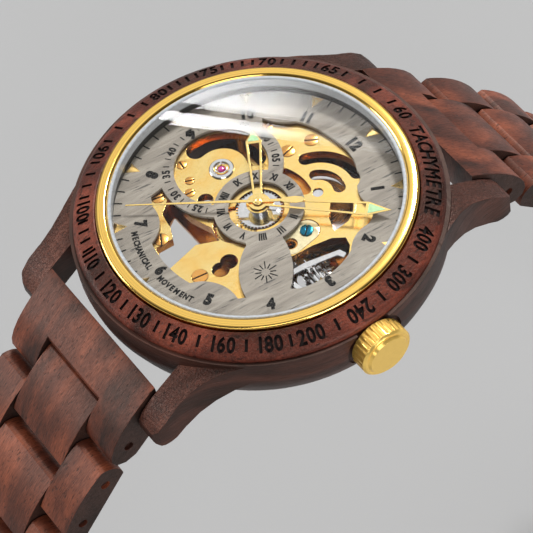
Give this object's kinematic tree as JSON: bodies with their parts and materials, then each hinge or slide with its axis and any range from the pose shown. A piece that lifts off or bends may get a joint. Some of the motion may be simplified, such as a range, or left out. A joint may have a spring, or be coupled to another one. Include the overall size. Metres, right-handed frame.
{
  "type": "wristwatch",
  "caption": "Openwork wristwatch with a round wooden case, engraved wooden bezel, gold skeleton movement, crown at 3 o'clock and a wooden link bracelet, its steel clasp open.",
  "frame": {"origin": "centre of the case back's outer face", "axes": "+Z out of the dial, +X towards the crown at 3 o'clock, +Y towards 12 o'clock"},
  "size_m": [0.0474, 0.1408, 0.1077],
  "materials": {
    "wood_case": "satin",
    "wood_bezel": "satin",
    "wood_link": "satin",
    "gold": "polished",
    "gasket": "matte",
    "crystal": "polished",
    "back_glass": "polished",
    "flange": "satin",
    "dial": "satin",
    "steel": "satin",
    "setting": "satin",
    "ruby": "gloss",
    "hand_gold": "polished"
  },
  "bodies": {
    "case": {"case_middle": "wood_case", "bezel": "wood_bezel", "crystal_ring": "gold", "crystal_gasket": "gasket", "crystal": "crystal", "inner_flange": "flange", "dial_plate": "dial", "hour_markers": "gold", "case_back_ring": "steel", "case_back_glass": "back_glass", "main_plate": "gold", "train_bridge": "gold", "balance_cock": "gold", "jewels": "ruby", "screws": "steel", "setting_plate": "setting", "spring_bars": "steel"},
    "hour_works": {"hour_wheel": "steel", "hour_hand": "hand_gold"},
    "centre_works": {"centre_wheel": "gold", "minute_hand": "hand_gold"},
    "fourth_works": {"fourth_wheel": "steel", "seconds_hand": "hand_gold"},
    "third_works": {"third_wheel": "gold"},
    "escape_works": {"escape_wheel": "steel"},
    "fork_works": {"pallet_fork": "steel"},
    "balance_works": {"balance_wheel": "gold", "hairspring": "steel"},
    "barrel_works": {"barrel": "gold"},
    "ratchet_works": {"ratchet_wheel": "steel"},
    "minute_works": {"minute_wheel": "gold"},
    "crown_wheel_works": {"crown_wheel": "steel"},
    "winding_works": {"winding_pinion": "steel"},
    "crown_works": {"crown": "gold"},
    "rotor_works": {"rotor": "gold"},
    "end_link_12h": {"end_link_12h": "wood_link"},
    "centre_link_12h_1": {"centre_link_12h_1": "wood_link"},
    "outer_link_12h_1": {"outer_link_12h_1": "wood_link"},
    "centre_link_12h_2": {"centre_link_12h_2": "wood_link"},
    "outer_link_12h_2": {"outer_link_12h_2": "wood_link"},
    "centre_link_12h_3": {"centre_link_12h_3": "wood_link"},
    "outer_link_12h_3": {"outer_link_12h_3": "wood_link"},
    "centre_link_12h_4": {"centre_link_12h_4": "wood_link"},
    "outer_link_12h_4": {"outer_link_12h_4": "wood_link"},
    "centre_link_12h_5": {"centre_link_12h_5": "wood_link"},
    "outer_link_12h_5": {"outer_link_12h_5": "wood_link"},
    "end_link_6h": {"end_link_6h": "wood_link"},
    "centre_link_6h_1": {"centre_link_6h_1": "wood_link"},
    "outer_link_6h_1": {"outer_link_6h_1": "wood_link"},
    "centre_link_6h_2": {"centre_link_6h_2": "wood_link"},
    "outer_link_6h_2": {"outer_link_6h_2": "wood_link"},
    "centre_link_6h_3": {"centre_link_6h_3": "wood_link"},
    "outer_link_6h_3": {"outer_link_6h_3": "wood_link"},
    "centre_link_6h_4": {"centre_link_6h_4": "wood_link"},
    "outer_link_6h_4": {"outer_link_6h_4": "wood_link"},
    "centre_link_6h_5": {"centre_link_6h_5": "wood_link"},
    "outer_link_6h_5": {"outer_link_6h_5": "wood_link"},
    "clasp_cover": {"clasp_cover": "steel"},
    "clasp_middle_leaf": {"clasp_middle_leaf": "steel"},
    "clasp_bottom_leaf": {"clasp_bottom_leaf": "steel"}
  },
  "joints": [
    {"name": "seconds_turn", "type": "hinge", "parent": "case", "child": "fourth_works", "pos_m": [0, 0, 0.007], "axis": [0, 0, -1], "continuous": true},
    {"name": "escape_turn", "type": "hinge", "parent": "case", "child": "escape_works", "pos_m": [-0.00311, -0.00311, 0.007], "axis": [0, 0, -1], "continuous": true},
    {"name": "third_turn", "type": "hinge", "parent": "case", "child": "third_works", "pos_m": [0.00311, -0.00311, 0.007], "axis": [0, 0, -1], "continuous": true},
    {"name": "minutes_turn", "type": "hinge", "parent": "case", "child": "centre_works", "pos_m": [0, 0, 0.007], "axis": [0, 0, -1], "continuous": true},
    {"name": "hours_turn", "type": "hinge", "parent": "case", "child": "hour_works", "pos_m": [0, 0, 0.007], "axis": [0, 0, -1], "continuous": true},
    {"name": "minute_wheel_turn", "type": "hinge", "parent": "case", "child": "minute_works", "pos_m": [0, -0.0034, 0.007], "axis": [0, 0, -1], "continuous": true},
    {"name": "barrel_turn", "type": "hinge", "parent": "case", "child": "barrel_works", "pos_m": [0.0025, 0.0067, 0.007], "axis": [0, 0, -1], "continuous": true},
    {"name": "balance_swing", "type": "hinge", "parent": "case", "child": "balance_works", "pos_m": [-0.0078, 0, 0.0065], "axis": [0, 0, 1], "range_deg": [-270, 270], "stiffness_Nm_per_rad": 0.0000003, "deforming": ["hairspring"]},
    {"name": "fork_swing", "type": "hinge", "parent": "case", "child": "fork_works", "pos_m": [-0.00507, -0.00181, 0.0055], "axis": [0, 0, 1], "range_deg": [-5, 5]},
    {"name": "winding_turn", "type": "hinge", "parent": "case", "child": "winding_works", "pos_m": [0.011, 0, 0.007], "axis": [1, 0, 0], "continuous": true},
    {"name": "crown_wheel_turn", "type": "hinge", "parent": "case", "child": "crown_wheel_works", "pos_m": [0.0086, 0, 0.0042], "axis": [0, 0, 1], "continuous": true},
    {"name": "ratchet_turn", "type": "hinge", "parent": "case", "child": "ratchet_works", "pos_m": [0.0025, 0.0067, 0.0042], "axis": [0, 0, 1], "continuous": true},
    {"name": "crown_pull", "type": "slide", "parent": "winding_works", "child": "crown_works", "axis": [1, 0, 0], "range_m": [0, 0.0015]},
    {"name": "rotor_turn", "type": "hinge", "parent": "case", "child": "rotor_works", "pos_m": [0, 0, 0.0032], "axis": [0, 0, 1], "continuous": true},
    {"name": "end_link_12h_pivot", "type": "hinge", "parent": "case", "child": "end_link_12h", "pos_m": [0, 0.0246, 0.0022], "axis": [-1, 0, 0], "range_deg": [-3, 0]},
    {"name": "centre_link_12h_1_pivot", "type": "hinge", "parent": "end_link_12h", "child": "centre_link_12h_1", "pos_m": [0, 0.028, -0.0009], "axis": [-1, 0, 0], "range_deg": [-2, 0]},
    {"name": "outer_link_12h_1_pivot", "type": "hinge", "parent": "centre_link_12h_1", "child": "outer_link_12h_1", "pos_m": [0, 0.03217, -0.00522], "axis": [-1, 0, 0], "range_deg": [-1, 1]},
    {"name": "centre_link_12h_2_pivot", "type": "hinge", "parent": "outer_link_12h_1", "child": "centre_link_12h_2", "pos_m": [0, 0.03626, -0.0096], "axis": [-1, 0, 0], "range_deg": [-3, 1]},
    {"name": "outer_link_12h_2_pivot", "type": "hinge", "parent": "centre_link_12h_2", "child": "outer_link_12h_2", "pos_m": [0, 0.04012, -0.0142], "axis": [-1, 0, 0], "range_deg": [-5, 3]},
    {"name": "centre_link_12h_3_pivot", "type": "hinge", "parent": "outer_link_12h_2", "child": "centre_link_12h_3", "pos_m": [0, 0.04356, -0.01912], "axis": [-1, 0, 0], "range_deg": [-5, 9]},
    {"name": "outer_link_12h_3_pivot", "type": "hinge", "parent": "centre_link_12h_3", "child": "outer_link_12h_3", "pos_m": [0, 0.04656, -0.02431], "axis": [-1, 0, 0], "range_deg": [-4, 20]},
    {"name": "centre_link_12h_4_pivot", "type": "hinge", "parent": "outer_link_12h_3", "child": "centre_link_12h_4", "pos_m": [0, 0.04919, -0.0297], "axis": [-1, 0, 0], "range_deg": [-2, 22]},
    {"name": "outer_link_12h_4_pivot", "type": "hinge", "parent": "centre_link_12h_4", "child": "outer_link_12h_4", "pos_m": [0, 0.05163, -0.03519], "axis": [-1, 0, 0], "range_deg": [-2, 20]},
    {"name": "centre_link_12h_5_pivot", "type": "hinge", "parent": "outer_link_12h_4", "child": "centre_link_12h_5", "pos_m": [0, 0.05388, -0.04075], "axis": [-1, 0, 0], "range_deg": [-2, 17]},
    {"name": "outer_link_12h_5_pivot", "type": "hinge", "parent": "centre_link_12h_5", "child": "outer_link_12h_5", "pos_m": [0, 0.05593, -0.04639], "axis": [-1, 0, 0], "range_deg": [-2, 12]},
    {"name": "end_link_6h_pivot", "type": "hinge", "parent": "case", "child": "end_link_6h", "pos_m": [0, -0.0246, 0.0022], "axis": [1, 0, 0], "range_deg": [-3, 0]},
    {"name": "centre_link_6h_1_pivot", "type": "hinge", "parent": "end_link_6h", "child": "centre_link_6h_1", "pos_m": [0, -0.028, -0.0009], "axis": [1, 0, 0], "range_deg": [-2, 0]},
    {"name": "outer_link_6h_1_pivot", "type": "hinge", "parent": "centre_link_6h_1", "child": "outer_link_6h_1", "pos_m": [0, -0.03217, -0.00522], "axis": [1, 0, 0], "range_deg": [-1, 1]},
    {"name": "centre_link_6h_2_pivot", "type": "hinge", "parent": "outer_link_6h_1", "child": "centre_link_6h_2", "pos_m": [0, -0.03626, -0.0096], "axis": [1, 0, 0], "range_deg": [-3, 1]},
    {"name": "outer_link_6h_2_pivot", "type": "hinge", "parent": "centre_link_6h_2", "child": "outer_link_6h_2", "pos_m": [0, -0.04012, -0.0142], "axis": [1, 0, 0], "range_deg": [-5, 3]},
    {"name": "centre_link_6h_3_pivot", "type": "hinge", "parent": "outer_link_6h_2", "child": "centre_link_6h_3", "pos_m": [0, -0.04356, -0.01912], "axis": [1, 0, 0], "range_deg": [-5, 9]},
    {"name": "outer_link_6h_3_pivot", "type": "hinge", "parent": "centre_link_6h_3", "child": "outer_link_6h_3", "pos_m": [0, -0.04656, -0.02431], "axis": [1, 0, 0], "range_deg": [-4, 20]},
    {"name": "centre_link_6h_4_pivot", "type": "hinge", "parent": "outer_link_6h_3", "child": "centre_link_6h_4", "pos_m": [0, -0.04919, -0.0297], "axis": [1, 0, 0], "range_deg": [-2, 22]},
    {"name": "outer_link_6h_4_pivot", "type": "hinge", "parent": "centre_link_6h_4", "child": "outer_link_6h_4", "pos_m": [0, -0.05163, -0.03519], "axis": [1, 0, 0], "range_deg": [-2, 20]},
    {"name": "centre_link_6h_5_pivot", "type": "hinge", "parent": "outer_link_6h_4", "child": "centre_link_6h_5", "pos_m": [0, -0.05388, -0.04075], "axis": [1, 0, 0], "range_deg": [-2, 17]},
    {"name": "outer_link_6h_5_pivot", "type": "hinge", "parent": "centre_link_6h_5", "child": "outer_link_6h_5", "pos_m": [0, -0.05593, -0.04639], "axis": [1, 0, 0], "range_deg": [-2, 12]},
    {"name": "clasp_cover_open", "type": "hinge", "parent": "outer_link_6h_5", "child": "clasp_cover", "pos_m": [0, -0.05778, -0.05209], "axis": [1, 0, 0], "range_deg": [-60, 0]},
    {"name": "clasp_middle_leaf_open", "type": "hinge", "parent": "clasp_cover", "child": "clasp_middle_leaf", "pos_m": [0, -0.06883, -0.09099], "axis": [1, 0, 0], "range_deg": [-100, 0]},
    {"name": "clasp_bottom_leaf_open", "type": "hinge", "parent": "outer_link_12h_5", "child": "clasp_bottom_leaf", "pos_m": [0, 0.05778, -0.05209], "axis": [1, 0, 0], "range_deg": [-40, 0]}
  ],
  "couplings": [
    {"joint": "escape_turn", "follows": "seconds_turn", "ratio": -12},
    {"joint": "third_turn", "follows": "seconds_turn", "ratio": -0.13333},
    {"joint": "minutes_turn", "follows": "seconds_turn", "ratio": 0.016667},
    {"joint": "hours_turn", "follows": "seconds_turn", "ratio": 0.0013889},
    {"joint": "minute_wheel_turn", "follows": "seconds_turn", "ratio": -0.0055556},
    {"joint": "barrel_turn", "follows": "seconds_turn", "ratio": -0.0027778},
    {"joint": "fork_swing", "follows": "balance_swing", "ratio": -0.018519},
    {"joint": "crown_wheel_turn", "follows": "winding_turn", "ratio": 0.5},
    {"joint": "ratchet_turn", "follows": "winding_turn", "ratio": -0.3}
  ]
}
